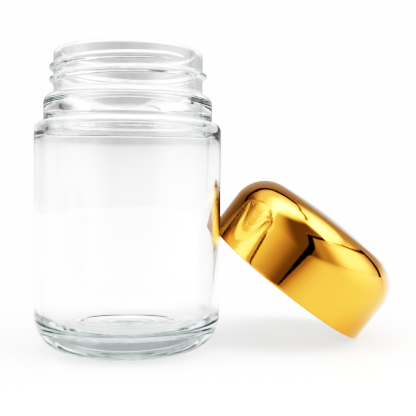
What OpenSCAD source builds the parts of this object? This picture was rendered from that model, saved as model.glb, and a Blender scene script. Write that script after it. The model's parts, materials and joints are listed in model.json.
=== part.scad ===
/* [Glass jar] */
// Outside diameter of the straight body
body_d = 82.5; // [70:0.5:100]
// Height from the table to the top of the rim
jar_h = 130; // [110:1:160]
// Thickness of the body's glass wall
glass_t = 2.6; // [2:0.1:4]
// Height of the glass floor above the table
floor_z = 9.5; // [8:0.5:11]
// How far the rounded heel reaches in from the body towards the base
heel_in = 12.5; // [9:0.5:14]
// How far the rounded heel reaches up the body
heel_up = 15; // [9:0.5:16]
// Inside diameter of the flat ring that the jar stands on
bearing_in_d = 52; // [40:1:53]
// How far the middle of the underside is pushed up
push_up = 2; // [0.5:0.5:3]
// Radius of the inside corner between the floor and the wall
inner_corner_r = 8; // [4:1:12]

/* [Neck and thread] */
// Diameter of the plain step below the neck
step_d = 74.3; // [72:0.1:76]
// Diameter of the neck's wall between the threads
neck_d = 65.6; // [64:0.1:67]
// Diameter over the thread's crest
thread_d = 69.2; // [68:0.1:70]
// Diameter of the mouth
mouth_d = 59; // [50:0.5:60]
// Height where the body's shoulder begins to round over
shoulder_z = 94.8; // [80:0.1:96]
// Height where the step begins to round over into the neck
step_z = 106.6; // [104:0.1:108]
// Rise of the thread in one turn
pitch = 5.4; // [5:0.1:6]
// Number of turns in the jar's thread
neck_turns = 1.55; // [1.25:0.05:1.75]
// Depth from the rim to the middle of the thread's upper end
thread_top = 5.9; // [5:0.1:7]
// Direction in which the thread's upper end points
thread_top_angle = 328; // [0:1:359]

/* [Cap] */
// Outside diameter of the metal shell
cap_d = 86.4; // [84:0.1:90]
// Height of the cap from its rim to the top of its crown
cap_h = 37.9; // [36:0.1:40]
// Radius of the shell's large rounded corner
crown_r = 16.7; // [12:0.1:17]
// Rise of the shallow crown above that corner
crown_rise = 1.7; // [1:0.1:2.5]
// Thickness of the metal sheet
shell_t = 0.6; // [0.4:0.1:0.8]
// Thickness of the insert's plastic walls
insert_t = 1.2; // [1:0.1:1.4]
// Number of stiffening ribs round the insert
rib_count = 16; // [6:1:24]
// Thickness of the foam liner
liner_t = 1; // [0.8:0.1:1.5]

/* [Resting place of the cap] */
// Tilt of the cap as it leans on the jar
lean = 37; // [25:1:50]
// Distance of the cap's middle behind the middle of the jar
lean_y = 33.4; // [0:0.1:40]

/* [Hidden] */
$fn = 128;

body_r = body_d / 2;
step_r = step_d / 2;
neck_r = neck_d / 2;
mouth_r = mouth_d / 2;
cap_r = cap_d / 2;

// Rounding of the rim, outside and inside
lip_r = 2.2;
lip_in_r = 0.5;
// Hollow fillet where a wall meets the rounded ring below it
fillet_r = 1.2;

// Gap between pieces on different bodies
gap = 0.3;

// Cap heights, measured up from the cap's rim
corner_z = cap_h - crown_r - crown_rise;
insert_low = 2.2;
insert_r = cap_r - shell_t - 0.05;
skirt_in_r = thread_d / 2 + 0.4;
skirt_out_r = skirt_in_r + insert_t;
skirt_low = 12.6;
deck_top = corner_z + sqrt(pow(crown_r - shell_t, 2) - pow(skirt_out_r - cap_r + crown_r, 2)) - 0.2;
deck_low = deck_top - insert_t;
liner_top = deck_low - gap;
liner_low = liner_top - liner_t;
liner_r = skirt_in_r - 0.4;
bead_top = liner_low - gap;
bead_r = liner_r - 0.3;

// Height of the cap's rim when the jar is closed
closed_z = jar_h - liner_low;

// Sections of the thread ridges: width at the wall, width at the crest
neck_ridge = [3.2, 1];
cap_ridge = [2.4, 0.8];
// How deep each ridge is rooted in its wall
neck_root = 1.2;
cap_root = 0.8;
// At its ends a ridge dips this share of its height below the wall
end_dip = 0.3;
// The cap's ridge runs this far below the neck's ridge when the jar is closed
flank_offset = 1.8;
cap_turns = 1.5;

// Points of an arc about a centre, in the plane of the profile
function arc(centre, r, from, to, steps = 12) =
    [for (i = [0:steps]) let (a = from + (to - from) * i / steps) centre + r * [cos(a), sin(a)]];

// Heel of the body, a quarter of an ellipse from the bearing ring up to the wall
function heel(steps = 16) =
    [for (i = [0:steps])
        let (a = 90 * i / steps)
        [body_r - heel_in * (1 - sin(a)), heel_up * (1 - cos(a))]];

// A wall of radius high_r above a ring of radius low_r that rounds over at height z
function rounded_step(low_r, high_r, z) =
    let (round_r = low_r - high_r)
    let (rise = sqrt(pow(round_r + fillet_r, 2) - pow(fillet_r, 2)))
    let (meet = atan2(rise, fillet_r))
    concat(
        arc([high_r, z], round_r, 0, meet),
        arc([high_r + fillet_r, z + rise], fillet_r, 180 + meet, 180, 6)
    );

// Inside of the shoulder, a smooth S from the mouth's wall down to the body's wall
function inner_shoulder(top_z, low_z, steps = 14) =
    [for (i = [0:steps])
        let (t = i / steps)
        [mouth_r + (body_r - glass_t - mouth_r) * (1 - cos(180 * t)) / 2, top_z + (low_z - top_z) * t]];

// Underside of the base, a shallow dome inside the bearing ring
function underside(steps = 8) =
    [for (i = [0:steps]) let (t = i / steps) [bearing_in_d / 2 * t, push_up * cos(90 * t)]];

// One cross-section of a thread ridge, from its foot to its crest and back
function ridge_section(foot_r, crest_r, widths, angle, z) =
    let (out = crest_r > foot_r ? 1 : -1)
    let (low_to_high = [
        [foot_r, -widths[0] / 2], [crest_r, -widths[1] / 2], [crest_r, widths[1] / 2], [foot_r, widths[0] / 2]
    ])
    [for (k = [0:3])
        let (p = low_to_high[out > 0 ? 3 - k : k])
        [p[0] * cos(angle), p[0] * sin(angle), z + p[1]]];

// A helical ridge that runs down from its top end and fades into the wall at both ends
module thread_ridge(foot_r, wall_r, crest_r, widths, top_angle, top_z, turns) {
    steps = round(turns * 40);
    fade = 8;
    sections = [for (i = [0:steps])
        let (full = min(1, min(i, steps - i) / fade))
        let (r = wall_r + (crest_r - wall_r) * ((1 + end_dip) * full - end_dip))
        let (turned = turns * (1 - i / steps))
        ridge_section(foot_r, r, widths, top_angle - 360 * turned, top_z - pitch * turned)];
    points = [for (s = sections) each s];
    sides = [for (i = [0:steps - 1]) for (k = [0:3])
        let (n = (k + 1) % 4)
        each [[4 * i + k, 4 * i + 4 + k, 4 * i + 4 + n], [4 * i + k, 4 * i + 4 + n, 4 * i + n]]];
    last = 4 * steps;
    polyhedron(points, concat(sides, [[0, 1, 2, 3], [last + 3, last + 2, last + 1, last]]));
}

// Outline of the shell at a depth below its outer surface, from the crown's middle to the skirt
function crown_outline(depth) =
    let (across = cap_r - crown_r)
    let (up = crown_r + crown_rise)
    let (dome_r = (pow(up, 2) + pow(across, 2) - pow(crown_r, 2)) / (2 * crown_rise))
    let (meet = 90 - asin(across / (dome_r - crown_r)))
    concat(
        arc([0, cap_h - dome_r], dome_r - depth, 90, meet, 8),
        arc([across, corner_z], crown_r - depth, meet, 0, 20)
    );

function reversed(list) = [for (i = [len(list) - 1:-1:0]) list[i]];

// The leaning cap touches the table on its rim and the body on its upper edge.
// Each point of the rim, seen from above, has to stay outside the jar by the gap.
hem_r = shell_t;
lean_x = max([for (t = [-90:0.5:90])
    let (y = lean_y + cap_r * sin(t))
    if (abs(y) < body_r + gap)
        cap_r * cos(lean) * cos(t) + sqrt(pow(body_r + gap, 2) - y * y)]);
lean_z = (cap_r - hem_r) * sin(lean) + hem_r * (1 - cos(lean));

module in_cap_place() {
    translate([lean_x, lean_y, lean_z])
        rotate([0, lean, 0])
            children();
}

module jar() {
    color([0.82, 0.87, 0.87, 0.5])
    union() {
        rotate_extrude()
            polygon(concat(
                underside(),
                heel(),
                rounded_step(body_r, step_r, shoulder_z),
                rounded_step(step_r, neck_r, step_z),
                arc([neck_r - lip_r, jar_h - lip_r], lip_r, 0, 90, 8),
                arc([mouth_r + lip_in_r, jar_h - lip_in_r], lip_in_r, 90, 180, 4),
                inner_shoulder(step_z + 4.4, shoulder_z - 4.8),
                arc([body_r - glass_t - inner_corner_r, floor_z + inner_corner_r], inner_corner_r, 0, -90),
                [[0, floor_z]]
            ));
        thread_ridge(
            neck_r - neck_root, neck_r, thread_d / 2, neck_ridge,
            thread_top_angle, jar_h - thread_top, neck_turns
        );
    }
}

module cap_shell() {
    color([0.93, 0.74, 0.25])
    in_cap_place()
        rotate_extrude()
            polygon(concat(
                crown_outline(0),
                arc([cap_r - hem_r, hem_r], hem_r, 0, -180, 8),
                [[cap_r - 2 * hem_r, insert_low - 0.3], [cap_r - shell_t, insert_low - 0.1]],
                reversed(crown_outline(shell_t))
            ));
}

module insert_rib() {
    // Stands on the skirt's open side and leans against the sloping outer wall
    rotate([90, 0, 0])
        linear_extrude(height = 1, center = true)
            polygon([
                [skirt_out_r - 0.4, skirt_low + 1],
                [insert_r - insert_t + 0.3, skirt_low + 1],
                [insert_r - insert_t + 0.3, corner_z - 2],
                [skirt_out_r - 0.4, deck_low - 1.2]
            ]);
}

module cap_insert() {
    color([0.95, 0.95, 0.94])
    in_cap_place()
    union() {
        // Outer wall, sloping shoulder and flat deck
        rotate_extrude()
            polygon([
                [insert_r, insert_low],
                [insert_r, corner_z - 3],
                [skirt_out_r, deck_top],
                [0, deck_top],
                [0, deck_low],
                [skirt_out_r - 0.6, deck_low],
                [insert_r - insert_t, corner_z - 3.3],
                [insert_r - insert_t, insert_low]
            ]);
        // Threaded skirt, with the small bead that keeps the liner in
        rotate_extrude()
            polygon([
                [skirt_in_r, skirt_low],
                [skirt_out_r, skirt_low],
                [skirt_out_r, deck_low + 0.3],
                [skirt_in_r, deck_low + 0.3],
                [skirt_in_r, bead_top],
                [bead_r, bead_top - 0.3],
                [skirt_in_r, bead_top - 1]
            ]);
        for (i = [0:rib_count - 1])
            rotate(360 * i / rib_count)
                insert_rib();
        thread_ridge(
            skirt_in_r + cap_root, skirt_in_r, neck_r + 0.6, cap_ridge,
            thread_top_angle, jar_h - thread_top - flank_offset - closed_z, cap_turns
        );
    }
}

module liner() {
    color([0.97, 0.96, 0.92])
    in_cap_place()
        translate([0, 0, liner_low])
            cylinder(r = liner_r, h = liner_t);
}

jar();
cap_shell();
cap_insert();
liner();
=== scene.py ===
import json
import math

import bpy
import numpy as np
from mathutils import Matrix, Vector


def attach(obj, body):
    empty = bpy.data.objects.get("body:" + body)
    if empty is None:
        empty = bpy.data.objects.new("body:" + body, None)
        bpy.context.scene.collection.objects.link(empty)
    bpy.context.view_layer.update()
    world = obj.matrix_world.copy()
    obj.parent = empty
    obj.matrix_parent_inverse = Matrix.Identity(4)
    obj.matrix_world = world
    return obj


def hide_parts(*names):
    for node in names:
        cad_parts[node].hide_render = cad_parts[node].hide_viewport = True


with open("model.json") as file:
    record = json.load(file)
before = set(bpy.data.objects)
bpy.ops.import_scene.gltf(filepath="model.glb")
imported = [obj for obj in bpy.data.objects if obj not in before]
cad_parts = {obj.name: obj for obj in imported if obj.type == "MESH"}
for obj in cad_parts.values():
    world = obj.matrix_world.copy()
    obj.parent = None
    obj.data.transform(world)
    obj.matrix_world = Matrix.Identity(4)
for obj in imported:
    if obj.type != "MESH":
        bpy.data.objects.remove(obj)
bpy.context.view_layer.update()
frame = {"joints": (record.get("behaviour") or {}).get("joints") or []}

MM = 0.001

# Jar sizes from the CAD part, in millimetres
BODY_R = 41.25
JAR_H = 130.0
GLASS_T = 2.6
FLOOR_Z = 9.5
HEEL_IN = 12.5
HEEL_UP = 15.0
BEARING_R = 26.0
PUSH_UP = 2.0
INNER_CORNER_R = 8.0
STEP_R = 37.15
NECK_R = 32.8
MOUTH_R = 29.5
SHOULDER_Z = 94.8
STEP_Z = 106.6
FILLET_R = 1.2
LIP_R = 2.2
LIP_IN_R = 0.5
INNER_R = BODY_R - GLASS_T
INNER_SHOULDER_TOP = STEP_Z + 4.4
INNER_SHOULDER_LOW = SHOULDER_Z - 4.8
JAR_SEGMENTS = 300

# Rings pressed into the base: radius, height and width of each, in millimetres
UNDERSIDE_RINGS = ((21.4, 0.22, 0.7), (12.4, 0.18, 0.6), (7.0, 0.2, 0.5))
FLOOR_RINGS = ((7.2, 0.35, 0.8), (12.4, 0.3, 0.9), (21.4, 0.35, 1.0))

# Fine marks round the ring that the jar stands on
MARK_COUNT = 75
MARK_HEIGHT = 0.22
MARKS_TOP_Z = 1.2

# Screw thread sizes, in millimetres and turns
PITCH = 5.4
NECK_TURNS = 1.55
THREAD_TOP_Z = JAR_H - 5.9
THREAD_TOP_ANGLE = 328.0
CAP_TURNS = 1.5
CAP_THREAD_TOP_Z = 21.95

# Sections of the two thread ridges: height, half the width at the foot and at the crest
NECK_RIDGE = (1.8, 1.75, 0.45)
CAP_RIDGE = (1.6, 1.3, 0.35)
# How many turns a ridge takes to rise from its end to its full height
RIDGE_TAPER = 0.06

# Cap sizes from the CAD part, in millimetres
CAP_R = 43.2
CAP_H = 37.9
CROWN_R = 16.7
CROWN_RISE = 1.7
SHELL_T = 0.6
INSERT_T = 1.2
GAP = 0.3
CORNER_Z = CAP_H - CROWN_R - CROWN_RISE
INSERT_LOW = 2.2
INSERT_R = CAP_R - SHELL_T - 0.05
SKIRT_IN_R = 35.0
SKIRT_OUT_R = SKIRT_IN_R + INSERT_T
SKIRT_LOW = 12.6
DECK_TOP = 32.15
DECK_LOW = DECK_TOP - INSERT_T
LINER_T = 1.0
LINER_TOP = DECK_LOW - GAP
LINER_LOW = LINER_TOP - LINER_T
LINER_R = SKIRT_IN_R - 0.4
BEAD_TOP = LINER_LOW - GAP
BEAD_R = LINER_R - 0.3
RIB_COUNT = 16
RIB_HALF_T = 0.5
SHELL_SEGMENTS = 288
INSERT_SEGMENTS = 192

# Colours from the darker to the lighter end of each material's slight variation
GOLD_LOW = (0.66, 0.345, 0.1)
GOLD_HIGH = (0.7, 0.37, 0.11)
PLASTIC_LOW = (0.82, 0.82, 0.8)
PLASTIC_HIGH = (0.88, 0.88, 0.865)
FOAM_LOW = (0.84, 0.82, 0.76)
FOAM_HIGH = (0.92, 0.91, 0.87)

# What the glass lets through in its depth, and how strongly it absorbs the rest
GLASS_TINT = (0.28, 0.42, 0.41)
GLASS_DEPTH = 8.0
GLASS_IOR = 1.52

# Table, in metres: its edges, and the stretch over which painted shade darkens its colour and its
# painted glow towards the camera
FLOOR_NEAR = -1.4
FLOOR_FAR = 1.6
FLOOR_SIDE = 1.5
FLOOR_PAINTED_SHADE_Y = -0.55
FLOOR_FULL_Y = -0.13
FLOOR_SHADE = 0.74
# Darker table colour near the camera: painted shade
FLOOR_PAINTED_SHADE = 0.36
# Painted glow: the table gives off light of its own, dimmer towards the camera
FLOOR_PAINTED_GLOW = 0.32
FLOOR_PAINTED_GLOW_NEAR = 0.16

# Light from directions that no window or wall covers, and the plain background that the camera sees
BASE_LIGHT = 0.3
BACKGROUND_LIGHT = 1.25

# Tone curve: the light that becomes white, the one that becomes about half, and the contrast
TONE_WHITE = 1.3
TONE_MIDDLE = 0.45
TONE_POWER = 2.4

# Camera, in metres, millimetres for the lens, and degrees
CAMERA_AT = (0.06255, -0.29651, 0.074)
CAMERA_YAW = 6.85
CAMERA_DOWN = 2.515
CAMERA_ROLL = 0.5
LENS = 58.5
SENSOR = 36.0
SHIFT_X = 0.0482
SHIFT_Y = 0.0034


# ---------------------------------------------------------------- mesh helpers

def smooth_step(x):
    x = np.clip(x, 0, 1)
    return x * x * (3 - 2 * x)


def line(start, end, steps):
    """Points on a straight line, without its last point."""
    t = np.arange(steps)[:, None] / steps
    return np.array(start) * (1 - t) + np.array(end) * t


def arc(centre, r, start, end, steps):
    """Points on an arc between two angles in degrees, both ends included."""
    a = np.radians(np.linspace(start, end, steps + 1))
    return np.array(centre) + r * np.stack([np.cos(a), np.sin(a)], 1)


def revolve(profile, segments, bend=None, closed=False):
    """Turns a profile of (radius, height) rows about Z. A row on the axis becomes one point.
    bend moves the rings: it takes and gives radius, height and angle arrays."""
    profile = np.array(profile, float)
    angle = np.linspace(0, 2 * np.pi, segments, endpoint=False)
    r = np.repeat(profile[:, :1], segments, 1)
    z = np.repeat(profile[:, 1:], segments, 1)
    a = np.repeat(angle[None], len(profile), 0)
    if bend is not None:
        r, z = bend(r, z, a)
    points = np.stack([r * np.cos(a), r * np.sin(a), z], -1).reshape(-1, 3)
    rows = len(profile)
    index = np.arange(rows * segments).reshape(rows, segments)
    for row in range(rows):
        if profile[row, 0] < 1e-6:
            points[index[row, 0]] = (0, 0, z[row].mean())
            index[row] = index[row, 0]
    low = index if closed else index[:-1]
    high = np.roll(index, -1, 0) if closed else index[1:]
    quads = np.stack([low, np.roll(low, -1, 1), np.roll(high, -1, 1), high], -1).reshape(-1, 4)
    return points, quads


def as_piece(name, points, quads, material, place=Matrix.Identity(4)):
    """A smooth-shaded mesh object from millimetre points, with unused points dropped.
    place moves the points themselves, so that the object stays at the origin."""
    faces = [list(dict.fromkeys(q)) for q in quads.tolist()]
    used = np.unique(np.concatenate([np.array(f) for f in faces]))
    new_index = np.zeros(len(points), int)
    new_index[used] = np.arange(len(used))
    faces = [[int(new_index[i]) for i in f] for f in faces]
    mesh = bpy.data.meshes.new(name)
    mesh.from_pydata((points[used] * MM).tolist(), [], faces)
    mesh.transform(place)
    mesh.shade_smooth()
    mesh.materials.append(material)
    piece = bpy.data.objects.new(name, mesh)
    bpy.context.scene.collection.objects.link(piece)
    return piece


def joined(parts):
    """Several (points, quads) pairs as one."""
    points, quads, start = [], [], 0
    for p, q in parts:
        points.append(p)
        quads.append(q + start)
        start += len(p)
    return np.concatenate(points), np.concatenate(quads)


def rounded_step(low_r, high_r, z):
    """A wall of radius low_r that rounds over at height z into a narrower wall above it."""
    round_r = low_r - high_r
    rise = math.sqrt((round_r + FILLET_R) ** 2 - FILLET_R ** 2)
    meet = math.degrees(math.atan2(rise, FILLET_R))
    over = arc([high_r, z], round_r, 0, meet, 16)
    hollow = arc([high_r + FILLET_R, z + rise], FILLET_R, 180 + meet, 180, 8)
    return np.concatenate([over, hollow[1:]])


def ridge_height(angle, z, top_z, turns, section):
    """Height of a rounded helical ridge over its wall."""
    height, half_foot, half_crest = section
    best = np.zeros_like(z)
    first = (THREAD_TOP_ANGLE - np.degrees(angle)) / 360
    first = first - np.floor(first)
    for k in range(int(turns) + 1):
        turned = first + k
        along = np.minimum(turned, turns - turned)
        full = smooth_step(along / RIDGE_TAPER)
        across = np.abs(z - (top_z - PITCH * turned))
        foot = half_crest + (half_foot - half_crest) * (0.45 + 0.55 * full)
        shape = smooth_step((foot - across) / (foot - half_crest * full))
        best = np.maximum(best, np.where(along > 0, height * full * shape, 0))
    return best


# ---------------------------------------------------------------- materials

def new_material(name):
    """A new node material, its node tree and its main shader."""
    material = bpy.data.materials.new(name)
    material.use_nodes = True
    nodes = material.node_tree.nodes
    return material, material.node_tree, nodes["Principled BSDF"]


def add_node(tree, kind, **inputs):
    """A node with some of its input values set by name."""
    node = tree.nodes.new(kind)
    for name, value in inputs.items():
        node.inputs[name.replace("_", " ")].default_value = value
    return node


def object_point(tree, scale):
    """The piece's own coordinates, scaled along each axis."""
    coords = tree.nodes.new("ShaderNodeTexCoord")
    mapping = tree.nodes.new("ShaderNodeMapping")
    mapping.inputs["Scale"].default_value = scale
    tree.links.new(coords.outputs["Object"], mapping.inputs["Vector"])
    return mapping.outputs["Vector"]


def cap_point(tree, place):
    """Coordinates in the cap's own frame, with its axis along Z."""
    coords = tree.nodes.new("ShaderNodeTexCoord")
    mapping = tree.nodes.new("ShaderNodeMapping")
    mapping.vector_type = "TEXTURE"
    mapping.inputs["Location"].default_value = place.to_translation()
    mapping.inputs["Rotation"].default_value = place.to_euler()
    tree.links.new(coords.outputs["Object"], mapping.inputs["Vector"])
    return mapping.outputs["Vector"]


def noise(tree, vector, scale, detail=2.0, rough=0.5):
    node = add_node(tree, "ShaderNodeTexNoise", Scale=scale, Detail=detail, Roughness=rough)
    tree.links.new(vector, node.inputs["Vector"])
    return node.outputs["Fac"]


def ranged(tree, value, low, high, from_low=0.0, from_high=1.0):
    """A value mapped to a new range."""
    node = tree.nodes.new("ShaderNodeMapRange")
    node.inputs["From Min"].default_value = from_low
    node.inputs["From Max"].default_value = from_high
    node.inputs["To Min"].default_value = low
    node.inputs["To Max"].default_value = high
    tree.links.new(value, node.inputs["Value"])
    return node.outputs["Result"]


def add_bump(tree, shader, height, strength, distance):
    bump = add_node(tree, "ShaderNodeBump", Strength=strength, Distance=distance)
    tree.links.new(height, bump.inputs["Height"])
    tree.links.new(bump.outputs["Normal"], shader.inputs["Normal"])
    return bump


def colour_blend(tree, factor, first, second):
    """A colour between two colours."""
    mix = tree.nodes.new("ShaderNodeMix")
    mix.data_type = "RGBA"
    mix.inputs["A"].default_value = (*first, 1)
    mix.inputs["B"].default_value = (*second, 1)
    tree.links.new(factor, mix.inputs["Factor"])
    return mix.outputs["Result"]


def clear_glass():
    """Clear glass: a grey green in its depth, and the soft ripple of a pressed and blown wall."""
    material, tree, shader = new_material("clear_flint_glass")
    shader.inputs["Base Color"].default_value = (1, 1, 1, 1)
    shader.inputs["Transmission Weight"].default_value = 1
    shader.inputs["IOR"].default_value = GLASS_IOR
    point = object_point(tree, (1, 1, 0.35))
    ripple = noise(tree, point, 55, 1.0)
    tree.links.new(ranged(tree, ripple, 0.0, 0.02, 0.35, 0.75), shader.inputs["Roughness"])
    add_bump(tree, shader, ripple, 0.35, 0.0004)
    depth = tree.nodes.new("ShaderNodeVolumeAbsorption")
    depth.inputs["Color"].default_value = (*GLASS_TINT, 1)
    depth.inputs["Density"].default_value = GLASS_DEPTH
    output = tree.nodes["Material Output"]
    tree.links.new(depth.outputs["Volume"], output.inputs["Volume"])
    return material


def ring_point(tree, place, across, around):
    """Coordinates that change quickly across the cap's turned lines and slowly along them."""
    split = tree.nodes.new("ShaderNodeSeparateXYZ")
    tree.links.new(cap_point(tree, place), split.inputs["Vector"])
    flat = tree.nodes.new("ShaderNodeCombineXYZ")
    tree.links.new(split.outputs["X"], flat.inputs["X"])
    tree.links.new(split.outputs["Y"], flat.inputs["Y"])
    radius = tree.nodes.new("ShaderNodeVectorMath")
    radius.operation = "LENGTH"
    tree.links.new(flat.outputs["Vector"], radius.inputs[0])
    turn = tree.nodes.new("ShaderNodeVectorMath")
    turn.operation = "NORMALIZE"
    tree.links.new(flat.outputs["Vector"], turn.inputs[0])
    slow = tree.nodes.new("ShaderNodeVectorMath")
    slow.operation = "SCALE"
    slow.inputs["Scale"].default_value = around
    tree.links.new(turn.outputs["Vector"], slow.inputs[0])
    total = tree.nodes.new("ShaderNodeMath")
    total.operation = "SUBTRACT"
    tree.links.new(radius.outputs["Value"], total.inputs[0])
    tree.links.new(split.outputs["Z"], total.inputs[1])
    quick = tree.nodes.new("ShaderNodeCombineXYZ")
    scaled = tree.nodes.new("ShaderNodeMath")
    scaled.operation = "MULTIPLY"
    scaled.inputs[1].default_value = across
    tree.links.new(total.outputs["Value"], scaled.inputs[0])
    tree.links.new(scaled.outputs["Value"], quick.inputs["Z"])
    both = tree.nodes.new("ShaderNodeVectorMath")
    both.operation = "ADD"
    tree.links.new(slow.outputs["Vector"], both.inputs[0])
    tree.links.new(quick.outputs["Vector"], both.inputs[1])
    return both.outputs["Vector"]


def gold_metal(place):
    """Polished gold-coloured aluminium with very fine turned lines."""
    material, tree, shader = new_material("polished_gold_metal")
    shader.inputs["Metallic"].default_value = 1
    lines = noise(tree, ring_point(tree, place, 1800.0, 1.5), 1.0, 3.0, 0.6)
    cloud = noise(tree, object_point(tree, (1, 1, 1)), 40, 2.0)
    colour = colour_blend(tree, ranged(tree, cloud, 0, 1, 0.3, 0.7), GOLD_LOW, GOLD_HIGH)
    tree.links.new(colour, shader.inputs["Base Color"])
    tree.links.new(ranged(tree, lines, 0.045, 0.085, 0.3, 0.7), shader.inputs["Roughness"])
    add_bump(tree, shader, lines, 0.06, 0.00002)
    return material


def white_plastic():
    """Moulded polypropylene: soft gloss, slightly uneven, a little light passing through."""
    material, tree, shader = new_material("white_moulded_plastic")
    point = object_point(tree, (1, 1, 1))
    cloud = noise(tree, point, 90, 3.0)
    colour = colour_blend(tree, cloud, PLASTIC_LOW, PLASTIC_HIGH)
    tree.links.new(colour, shader.inputs["Base Color"])
    tree.links.new(ranged(tree, cloud, 0.28, 0.42), shader.inputs["Roughness"])
    shader.inputs["Subsurface Weight"].default_value = 0.08
    shader.inputs["Subsurface Scale"].default_value = 0.002
    add_bump(tree, shader, noise(tree, point, 1400, 2.0), 0.12, 0.0001)
    return material


def foam_liner():
    """Pressed polyethylene foam with small closed cells."""
    material, tree, shader = new_material("pressed_foam")
    point = object_point(tree, (1, 1, 1))
    cells = add_node(tree, "ShaderNodeTexVoronoi", Scale=1600.0)
    tree.links.new(point, cells.inputs["Vector"])
    cloud = noise(tree, point, 120, 3.0)
    colour = colour_blend(tree, cloud, FOAM_LOW, FOAM_HIGH)
    tree.links.new(colour, shader.inputs["Base Color"])
    tree.links.new(ranged(tree, cloud, 0.7, 0.9), shader.inputs["Roughness"])
    add_bump(tree, shader, cells.outputs["Distance"], 0.35, 0.0002)
    return material


# ---------------------------------------------------------------- the jar

def jar_profile():
    """The glass from the middle of the underside, up the outside and down the inside."""
    t = np.linspace(0, 1, 34)
    underside = np.stack([BEARING_R * t, PUSH_UP * np.cos(np.pi / 2 * t)], 1)
    ring = line([BEARING_R, 0], [BODY_R - HEEL_IN, 0], 8)[1:]
    turn = np.linspace(0, np.pi / 2, 30)
    heel_r = BODY_R - HEEL_IN * (1 - np.sin(turn))
    heel = np.stack([heel_r, HEEL_UP * (1 - np.cos(turn))], 1)[1:]
    wall = line([BODY_R, HEEL_UP], [BODY_R, SHOULDER_Z], 16)[1:]
    shoulder = rounded_step(BODY_R, STEP_R, SHOULDER_Z)
    step_wall = line(shoulder[-1], [STEP_R, STEP_Z], 4)[1:]
    neck_foot = rounded_step(STEP_R, NECK_R, STEP_Z)
    neck = line(neck_foot[-1], [NECK_R, JAR_H - LIP_R], 64)[1:]
    lip = arc([NECK_R - LIP_R, JAR_H - LIP_R], LIP_R, 0, 90, 10)
    lip_inside = arc([MOUTH_R + LIP_IN_R, JAR_H - LIP_IN_R], LIP_IN_R, 90, 180, 5)
    mouth = line([MOUTH_R, JAR_H - LIP_IN_R], [MOUTH_R, INNER_SHOULDER_TOP], 10)[1:]
    t = np.linspace(0, 1, 24)
    s_curve = MOUTH_R + (INNER_R - MOUTH_R) * (1 - np.cos(np.pi * t)) / 2
    s_height = INNER_SHOULDER_TOP * (1 - t) + INNER_SHOULDER_LOW * t
    inner_shoulder = np.stack([s_curve, s_height], 1)
    corner_z = FLOOR_Z + INNER_CORNER_R
    inner_wall = line([INNER_R, INNER_SHOULDER_LOW], [INNER_R, corner_z], 18)[1:]
    corner = arc([INNER_R - INNER_CORNER_R, corner_z], INNER_CORNER_R, 0, -90, 12)
    floor = line([INNER_R - INNER_CORNER_R, FLOOR_Z], [0, FLOOR_Z], 40)[1:]
    parts = [underside, ring, heel, wall, shoulder, step_wall, neck_foot, neck, lip]
    parts += [lip_inside, mouth, inner_shoulder, inner_wall, corner, floor, [[0, FLOOR_Z]]]
    return np.concatenate(parts)


def bump_ring(r, middle, width):
    """A soft round ring about a radius."""
    return np.exp(-((r - middle) / width) ** 2)


def ring_heights(r, rings):
    """Height of several soft rings, each given by its radius, height and width."""
    return sum(height * bump_ring(r, middle, width) for middle, height, width in rings)


def bearing_marks(r, a):
    """Fine marks all round, fading out at both edges of the ring that the jar stands on."""
    marks = MARK_HEIGHT * (0.5 - 0.5 * np.cos(MARK_COUNT * a)) * smooth_step((r - 26.2) / 0.8)
    return marks * smooth_step((31.4 - r) / 1.6)


def wall_waves(z, a):
    """The slight unevenness of the blown inside, none near the floor and the shoulder."""
    body = smooth_step((z - FLOOR_Z - 3) / 14) * smooth_step((106 - z) / 14)
    wave = 0.16 * np.sin(2 * a + 0.6 + z * 0.018) + 0.08 * np.sin(5 * a - z * 0.05)
    wave = wave + 0.07 * np.sin(z * 0.16 + 1.3 * np.sin(a))
    return wave * body


def jar_bend(outer_rows):
    """The thread, the marks and rings in the base, and the uneven inside of the jar."""
    def bend(r, z, a):
        outside = np.arange(len(r))[:, None] < outer_rows
        underside = outside & (z < PUSH_UP + 0.01) & (r < BEARING_R)
        z = z - np.where(underside, np.minimum(ring_heights(r, UNDERSIDE_RINGS), z), 0)
        bearing = outside & (z < MARKS_TOP_Z) & (r > BEARING_R)
        z = z + np.where(bearing, bearing_marks(r, a), 0)
        on_neck = outside & (z > 111.5) & (z < 128)
        r = r + np.where(on_neck, ridge_height(a, z, THREAD_TOP_Z, NECK_TURNS, NECK_RIDGE), 0)
        on_floor = ~outside & (z < FLOOR_Z + 0.01)
        z = z + np.where(on_floor, ring_heights(r, FLOOR_RINGS), 0)
        inside = ~outside & (z < 108) & (z > FLOOR_Z + 3)
        r = r + np.where(inside, wall_waves(z, a), 0)
        return r, z
    return bend


def make_jar():
    profile = jar_profile()
    top = int(np.argmax(profile[:, 1] >= JAR_H - 1e-6))
    points, quads = revolve(profile, JAR_SEGMENTS, jar_bend(top + 1))
    jar = as_piece("jar_glass", points, quads, clear_glass())
    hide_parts("jar")
    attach(jar, "jar")
    return jar


# ---------------------------------------------------------------- the cap

def cap_place():
    """Where the cap's own frame lies: its axis is the cap's turning axis."""
    turn = next(j for j in frame["joints"] if j["name"] == "cap_turn")
    up = Vector(turn["axis"]).normalized()
    side = Vector((0, 1, 0))
    across = side.cross(up)
    place = Matrix.Identity(4)
    for row in range(3):
        place[row][0] = across[row]
        place[row][1] = side[row]
        place[row][2] = up[row]
        place[row][3] = turn["pos_m"][row]
    return place


def crown_outline(depth, dome_steps, corner_steps):
    """The shell's outline at a depth below its outer surface, from the middle to the skirt."""
    across = CAP_R - CROWN_R
    up = CROWN_R + CROWN_RISE
    dome_r = (up ** 2 + across ** 2 - CROWN_R ** 2) / (2 * CROWN_RISE)
    meet = 90 - math.degrees(math.asin(across / (dome_r - CROWN_R)))
    dome = arc([0, CAP_H - dome_r], dome_r - depth, 90, meet, dome_steps)
    dome[0, 0] = 0
    corner = arc([across, CORNER_Z], CROWN_R - depth, meet, 0, corner_steps)
    return np.concatenate([dome, corner[1:]])


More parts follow.
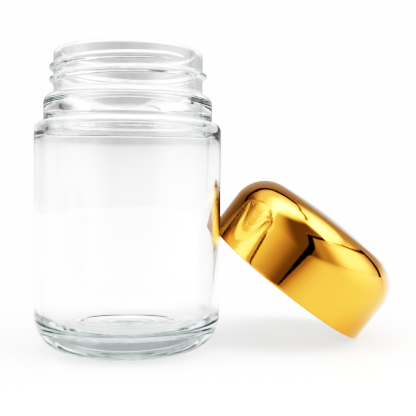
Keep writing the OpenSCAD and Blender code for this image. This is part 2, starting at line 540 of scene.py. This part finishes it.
def make_shell(place, gold):
    outside = crown_outline(0, 24, 48)
    skirt = line(outside[-1], [CAP_R, SHELL_T], 24)[1:]
    hem = arc([CAP_R - SHELL_T, SHELL_T], SHELL_T, 0, -180, 12)
    curl = arc([CAP_R - SHELL_T, INSERT_LOW - 0.65], SHELL_T, 180, 118, 5)
    inside = crown_outline(SHELL_T, 16, 24)[::-1]
    rise = line(curl[-1], inside[0], 8)[1:]
    profile = np.concatenate([outside, skirt, hem, curl, rise, inside])
    points, quads = revolve(profile[::-1], SHELL_SEGMENTS)
    shell = as_piece("cap_metal_shell", points, quads, gold, place)
    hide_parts("cap_shell")
    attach(shell, "cap")
    return shell


def insert_wall():
    """The insert's outer wall, sloping shoulder and deck."""
    slope_in = [INSERT_R - INSERT_T, CORNER_Z - 3.3]
    profile = [
        line([0, DECK_LOW], [SKIRT_OUT_R - 0.6, DECK_LOW], 6),
        line([SKIRT_OUT_R - 0.6, DECK_LOW], slope_in, 6),
        line(slope_in, [INSERT_R - INSERT_T, INSERT_LOW + 0.3], 5),
        arc([INSERT_R - INSERT_T / 2, INSERT_LOW + 0.5], 0.5, 180, 360, 6),
        line([INSERT_R, INSERT_LOW + 0.6], [INSERT_R, CORNER_Z - 3], 5),
        line([INSERT_R, CORNER_Z - 3], [SKIRT_OUT_R, DECK_TOP], 6),
        line([SKIRT_OUT_R, DECK_TOP], [0, DECK_TOP], 6),
        [[0, DECK_TOP]],
    ]
    return revolve(np.concatenate(profile), INSERT_SEGMENTS)


def skirt_bend(r, z, a):
    """The cap's own thread on the inside of the skirt."""
    inner = np.abs(r - SKIRT_IN_R) < 0.02
    ridge = ridge_height(a, z, CAP_THREAD_TOP_Z, CAP_TURNS, CAP_RIDGE)
    return r - np.where(inner, ridge, 0), z


def insert_skirt():
    """The threaded skirt, with a rounded lower edge and the bead that keeps the liner in."""
    half = INSERT_T / 2
    middle = SKIRT_IN_R + half
    bead = np.linspace(0, 1, 9)
    bead_shape = np.stack([
        SKIRT_IN_R - (SKIRT_IN_R - BEAD_R) * np.sin(np.pi * bead) ** 2,
        BEAD_TOP - 1 + bead,
    ], 1)
    profile = [
        arc([middle, SKIRT_LOW + half], half, -180, 0, 8),
        line([SKIRT_OUT_R, SKIRT_LOW + half], [SKIRT_OUT_R, DECK_LOW + 0.3], 8)[1:],
        line([SKIRT_OUT_R, DECK_LOW + 0.3], [SKIRT_IN_R, DECK_LOW + 0.3], 2),
        line([SKIRT_IN_R, DECK_LOW + 0.3], [SKIRT_IN_R, BEAD_TOP], 3),
        bead_shape[::-1],
        line([SKIRT_IN_R, BEAD_TOP - 1], [SKIRT_IN_R, SKIRT_LOW + half], 64)[1:],
    ]
    return revolve(np.concatenate(profile), SHELL_SEGMENTS, skirt_bend, closed=True)


def insert_rib(angle):
    """One stiffening rib, its free lower edge rounded, as a closed loft of cross-sections."""
    left = SKIRT_OUT_R - 0.3
    right = INSERT_R - INSERT_T + 0.3
    low = SKIRT_LOW + 1
    steps = 7
    rows = []
    for k in range(steps + 1):
        r = left + (right - left) * k / steps
        high = DECK_LOW - 1.2 + (CORNER_Z - 2 - DECK_LOW + 1.2) * k / steps
        sag = 0.7 * math.sin(math.pi * k / steps)
        edge = low + sag
        section = [(-RIB_HALF_T, high), (-RIB_HALF_T, edge + 0.5), (-0.3, edge + 0.12), (0, edge)]
        section += [(0.3, edge + 0.12), (RIB_HALF_T, edge + 0.5), (RIB_HALF_T, high)]
        rows.append([(r, y, z) for y, z in section])
    points = np.array(rows, float)
    sides = points.shape[1]
    turned = np.array([[math.cos(angle), math.sin(angle)], [-math.sin(angle), math.cos(angle)]])
    flat = points.reshape(-1, 3)
    flat[:, :2] = flat[:, :2] @ turned
    quads = []
    for k in range(steps):
        for s in range(sides):
            n = (s + 1) % sides
            a, b = k * sides + s, k * sides + n
            quads.append([a, b, b + sides, a + sides])
    for k, flip in ((0, False), (steps, True)):
        base = k * sides
        caps = [[base, base + 6, base + 5, base + 1], [base + 1, base + 5, base + 4, base + 2],
                [base + 2, base + 4, base + 3, base + 3]]
        quads += [c[::-1] if flip else c for c in caps]
    return flat, np.array(quads)


def make_insert(place):
    parts = [insert_wall(), insert_skirt()]
    parts += [insert_rib(2 * math.pi * k / RIB_COUNT) for k in range(RIB_COUNT)]
    points, quads = joined(parts)
    insert = as_piece("cap_plastic_insert", points, quads, white_plastic(), place)
    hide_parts("cap_insert")
    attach(insert, "cap")
    return insert


def make_liner(place):
    """The foam disc: a soft round edge, and the faint ring that the jar's rim has pressed."""
    edge = (LINER_TOP - LINER_LOW) / 2
    low = np.linspace(0, LINER_R - edge, 60)
    pressed = 0.12 * bump_ring(low, (MOUTH_R + NECK_R) / 2, 1.4)
    under = np.stack([low, LINER_LOW + pressed], 1)
    side = arc([LINER_R - edge, LINER_LOW + edge], edge, -90, 90, 8)[1:]
    top = line([LINER_R - edge, LINER_TOP], [0, LINER_TOP], 8)[1:]
    profile = np.concatenate([under, side, top, [[0, LINER_TOP]]])
    points, quads = revolve(profile, INSERT_SEGMENTS)
    liner = as_piece("cap_foam_liner", points, quads, foam_liner(), place)
    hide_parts("liner")
    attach(liner, "liner")
    return liner


# ---------------------------------------------------------------- stage, light and camera

def make_floor():
    """A pale matt table with a trace of gloss. Painted shade darkens its colour towards the camera,
    and a painted glow, dimmer towards the camera, lights it from within.
    """
    mesh = bpy.data.meshes.new("floor")
    near = [(-FLOOR_SIDE, FLOOR_NEAR, 0), (FLOOR_SIDE, FLOOR_NEAR, 0)]
    far = [(FLOOR_SIDE, FLOOR_FAR, 0), (-FLOOR_SIDE, FLOOR_FAR, 0)]
    mesh.from_pydata(near + far, [], [[0, 1, 2, 3]])
    material, tree, shader = new_material("pale_table_painted_shade_and_glow")
    split = tree.nodes.new("ShaderNodeSeparateXYZ")
    tree.links.new(object_point(tree, (1, 1, 1)), split.inputs["Vector"])
    along = split.outputs["Y"]
    # Painted shade: the table's colour grows darker towards the camera
    painted_shade_colour = ranged(tree, along, FLOOR_PAINTED_SHADE, FLOOR_SHADE, FLOOR_PAINTED_SHADE_Y, FLOOR_FULL_Y)
    tree.links.new(painted_shade_colour, shader.inputs["Base Color"])
    # Painted glow: the table's own emission, weaker towards the camera
    painted_glow = ranged(tree, along, FLOOR_PAINTED_GLOW_NEAR, FLOOR_PAINTED_GLOW, FLOOR_PAINTED_SHADE_Y, FLOOR_FULL_Y)
    tree.links.new(painted_glow, shader.inputs["Emission Strength"])
    shader.inputs["Roughness"].default_value = 0.22
    shader.inputs["Specular IOR Level"].default_value = 0.35
    shader.inputs["Emission Color"].default_value = (1, 1, 1, 1)
    mesh.materials.append(material)
    floor = bpy.data.objects.new("floor", mesh)
    bpy.context.scene.collection.objects.link(floor)
    floor.location.z = -0.0001


class Sky:
    """Builds the studio's light from soft-edged regions of direction.
    Azimuth is 0 towards the camera and grows to the right, elevation is above the table."""

    def __init__(self, tree):
        self.tree = tree
        coords = tree.nodes.new("ShaderNodeTexCoord")
        split = tree.nodes.new("ShaderNodeSeparateXYZ")
        tree.links.new(coords.outputs["Generated"], split.inputs["Vector"])
        back = self.math("MULTIPLY", split.outputs["Y"], -1.0)
        turn = self.math("ARCTAN2", split.outputs["X"], back)
        self.azimuth = self.math("MULTIPLY", turn, 180 / math.pi)
        rise = self.math("ARCSINE", split.outputs["Z"])
        self.elevation = self.math("MULTIPLY", rise, 180 / math.pi)

    def math(self, operation, first, second=None):
        node = self.tree.nodes.new("ShaderNodeMath")
        node.operation = operation
        for socket, value in zip(node.inputs, (first, second)):
            if isinstance(value, (int, float)):
                socket.default_value = value
            elif value is not None:
                self.tree.links.new(value, socket)
        return node.outputs["Value"]

    def ramp(self, value, start, end, low=0.0, high=1.0):
        """Smooth change from low to high as value goes from start to end."""
        node = self.tree.nodes.new("ShaderNodeMapRange")
        node.interpolation_type = "SMOOTHSTEP"
        flipped = start > end
        node.inputs["From Min"].default_value = min(start, end)
        node.inputs["From Max"].default_value = max(start, end)
        node.inputs["To Min"].default_value = high if flipped else low
        node.inputs["To Max"].default_value = low if flipped else high
        self.tree.links.new(value, node.inputs["Value"])
        return node.outputs["Result"]

    def band(self, value, low, high, soft_low, soft_high):
        """1 between low and high, falling to 0 over a soft width on each side."""
        up = self.ramp(value, low - soft_low, low)
        down = self.ramp(value, high + soft_high, high)
        return self.math("MULTIPLY", up, down)

    def patch(self, azimuths, elevations, soft_azimuth, soft_elevation):
        """A region of azimuth and elevation with soft edges."""
        around = self.band(self.azimuth, *azimuths, *soft_azimuth)
        above = self.band(self.elevation, *elevations, *soft_elevation)
        return self.math("MULTIPLY", around, above)

    def seam(self, start, end, half_width, soft):
        """A thin line from one direction to another."""
        run, rise = end[0] - start[0], end[1] - start[1]
        length = math.hypot(run, rise)
        right = self.math("SUBTRACT", self.azimuth, start[0])
        up = self.math("SUBTRACT", self.elevation, start[1])
        along = self.math("ADD", self.math("MULTIPLY", right, run / length),
                          self.math("MULTIPLY", up, rise / length))
        across = self.math("SUBTRACT", self.math("MULTIPLY", right, rise / length),
                           self.math("MULTIPLY", up, run / length))
        near = self.ramp(self.math("ABSOLUTE", across), half_width + soft, half_width)
        return self.math("MULTIPLY", near, self.band(along, 0, length, soft, soft))


def studio_lights(sky):
    """The soft windows and lit surfaces round the table, each with its strength."""
    return [
        # Left window, with the glow that it throws towards the camera's side
        (sky.patch((-75, -58), (16, 66), (7, 9), (14, 20)), 1.8),
        (sky.patch((-84, -56), (0, 90), (40, 46), (20, 1)), 1.0),
        # Right window, lower and upper part
        (sky.patch((76, 90), (14, 28), (44, 40), (36, 14)), 1.9),
        (sky.patch((56, 92), (42, 58), (4, 66), (8, 12)), 2.6),
        # Front right of the tent, lit by the floor
        (sky.patch((24, 62), (-20, 36), (16, 20), (14, 16)), 0.34),
        # Right side of the tent
        (sky.patch((60, 125), (-90, 60), (30, 30), (1, 20)), 0.25),
        # Back wall, brighter where it meets the table
        (sky.patch((150, 181), (-90, 36), (36, 1), (1, 16)), 0.2),
        (sky.patch((-181, -150), (-90, 36), (1, 36), (1, 16)), 0.2),
        (sky.patch((130, 181), (-90, -3), (30, 1), (1, 12)), 0.6),
        (sky.patch((-181, -130), (-90, -3), (1, 30), (1, 12)), 0.6),
        # Left side near the table
        (sky.patch((-130, -40), (-90, 4), (25, 25), (1, 14)), 0.45),
        # Ceiling, which reaches lower at the back
        (sky.ramp(sky.elevation, 62, 84), 3.0),
        (sky.patch((60, 181), (64, 91), (20, 1), (22, 1)), 1.2),
        (sky.patch((-181, -90), (60, 91), (1, 30), (22, 1)), 1.0),
    ]


def studio_gaps(sky):
    """The dark gap round the lens and the seams of the tent, each with how much light it takes."""
    return [
        (sky.seam((-10, -7), (10, 19), 3.6, 1.4), 0.95),
        (sky.seam((10, 19), (19, 41), 3.6, 1.4), 0.95),
        (sky.seam((17, 42), (50, 42), 1.6, 1.4), 0.85),
        (sky.seam((50, 42), (88, 35), 0.3, 1.6), 0.5),
        (sky.seam((88, 35), (131, 20), 0.8, 1.6), 0.8),
        (sky.seam((131, 21), (121, -9), 2.4, 1.6), 0.9),
        (sky.seam((72, 69), (126, 68), 0.6, 1.8), 0.85),
        (sky.seam((126, 68), (152, 55), 0.8, 1.8), 0.85),
        (sky.seam((152, 55), (182, 48), 2.0, 2.2), 0.92),
        (sky.seam((-182, 48), (-150, 43), 2.0, 2.2), 0.88),
        (sky.seam((-150, 43), (-118, 24), 1.8, 2.2), 0.75),
        (sky.patch((-140, -112), (-5, 40), (22, 14), (10, 16)), 0.3),
    ]


def light_the_studio():
    """A white light tent seen from its open front: soft windows at both sides, a bright ceiling,
    a plain back wall, thin dark seams, and a dimmer front. The camera itself sees plain white."""
    world = bpy.data.worlds.new("studio")
    bpy.context.scene.world = world
    world.use_nodes = True
    tree = world.node_tree
    sky = Sky(tree)
    level = BASE_LIGHT
    for area, strength in studio_lights(sky):
        level = sky.math("ADD", level, sky.math("MULTIPLY", area, strength))
    for area, share in studio_gaps(sky):
        kept = sky.math("MULTIPLY_ADD", area, -share)
        kept.node.inputs[2].default_value = 1.0
        level = sky.math("MULTIPLY", level, kept)
    path = tree.nodes.new("ShaderNodeLightPath")
    shown = tree.nodes.new("ShaderNodeMix")
    shown.inputs["B"].default_value = BACKGROUND_LIGHT
    tree.links.new(path.outputs["Is Camera Ray"], shown.inputs["Factor"])
    tree.links.new(level, shown.inputs["A"])
    tree.links.new(shown.outputs["Result"], tree.nodes["Background"].inputs["Strength"])
    tree.nodes["Background"].inputs["Color"].default_value = (1, 1, 1, 1)


def set_tone():
    """A photographic tone curve: deeper shadows, and highlights that roll off to white."""
    view = bpy.context.scene.view_settings
    view.view_transform = "Standard"
    view.look = "None"
    view.use_curve_mapping = True
    curves = view.curve_mapping
    curves.white_level = (TONE_WHITE, TONE_WHITE, TONE_WHITE)
    curve = curves.curves[3]
    at_white = TONE_WHITE ** TONE_POWER / (TONE_WHITE ** TONE_POWER + TONE_MIDDLE ** TONE_POWER)
    for x in (0.05, 0.1, 0.15, 0.2, 0.3, 0.4, 0.5, 0.65, 0.8, 1.0, 1.15):
        y = x ** TONE_POWER / (x ** TONE_POWER + TONE_MIDDLE ** TONE_POWER) / at_white
        curve.points.new(x / TONE_WHITE, y)
    curves.update()


def place_camera():
    """A long lens a little above the middle of the jar, turned slightly to the left."""
    data = bpy.data.cameras.new("photo_camera")
    data.lens = LENS
    data.sensor_width = SENSOR
    data.shift_x = SHIFT_X
    data.shift_y = SHIFT_Y
    data.clip_start = 0.01
    data.clip_end = 20.0
    camera = bpy.data.objects.new("photo_camera", data)
    bpy.context.scene.collection.objects.link(camera)
    yaw = Matrix.Rotation(math.radians(CAMERA_YAW), 4, "Z")
    pitch = Matrix.Rotation(math.radians(90 - CAMERA_DOWN), 4, "X")
    roll = Matrix.Rotation(math.radians(CAMERA_ROLL), 4, "Z")
    camera.matrix_world = Matrix.Translation(CAMERA_AT) @ yaw @ pitch @ roll
    bpy.context.scene.camera = camera


def allow_deep_glass():
    """Enough bounces for light that is caught between the glass's two surfaces."""
    cycles = bpy.context.scene.cycles
    cycles.max_bounces = 28
    cycles.glossy_bounces = 16
    cycles.transmission_bounces = 24


make_jar()
cap_frame = cap_place()
make_shell(cap_frame, gold_metal(cap_frame))
make_insert(cap_frame)
make_liner(cap_frame)
make_floor()
light_the_studio()
set_tone()
place_camera()
allow_deep_glass()
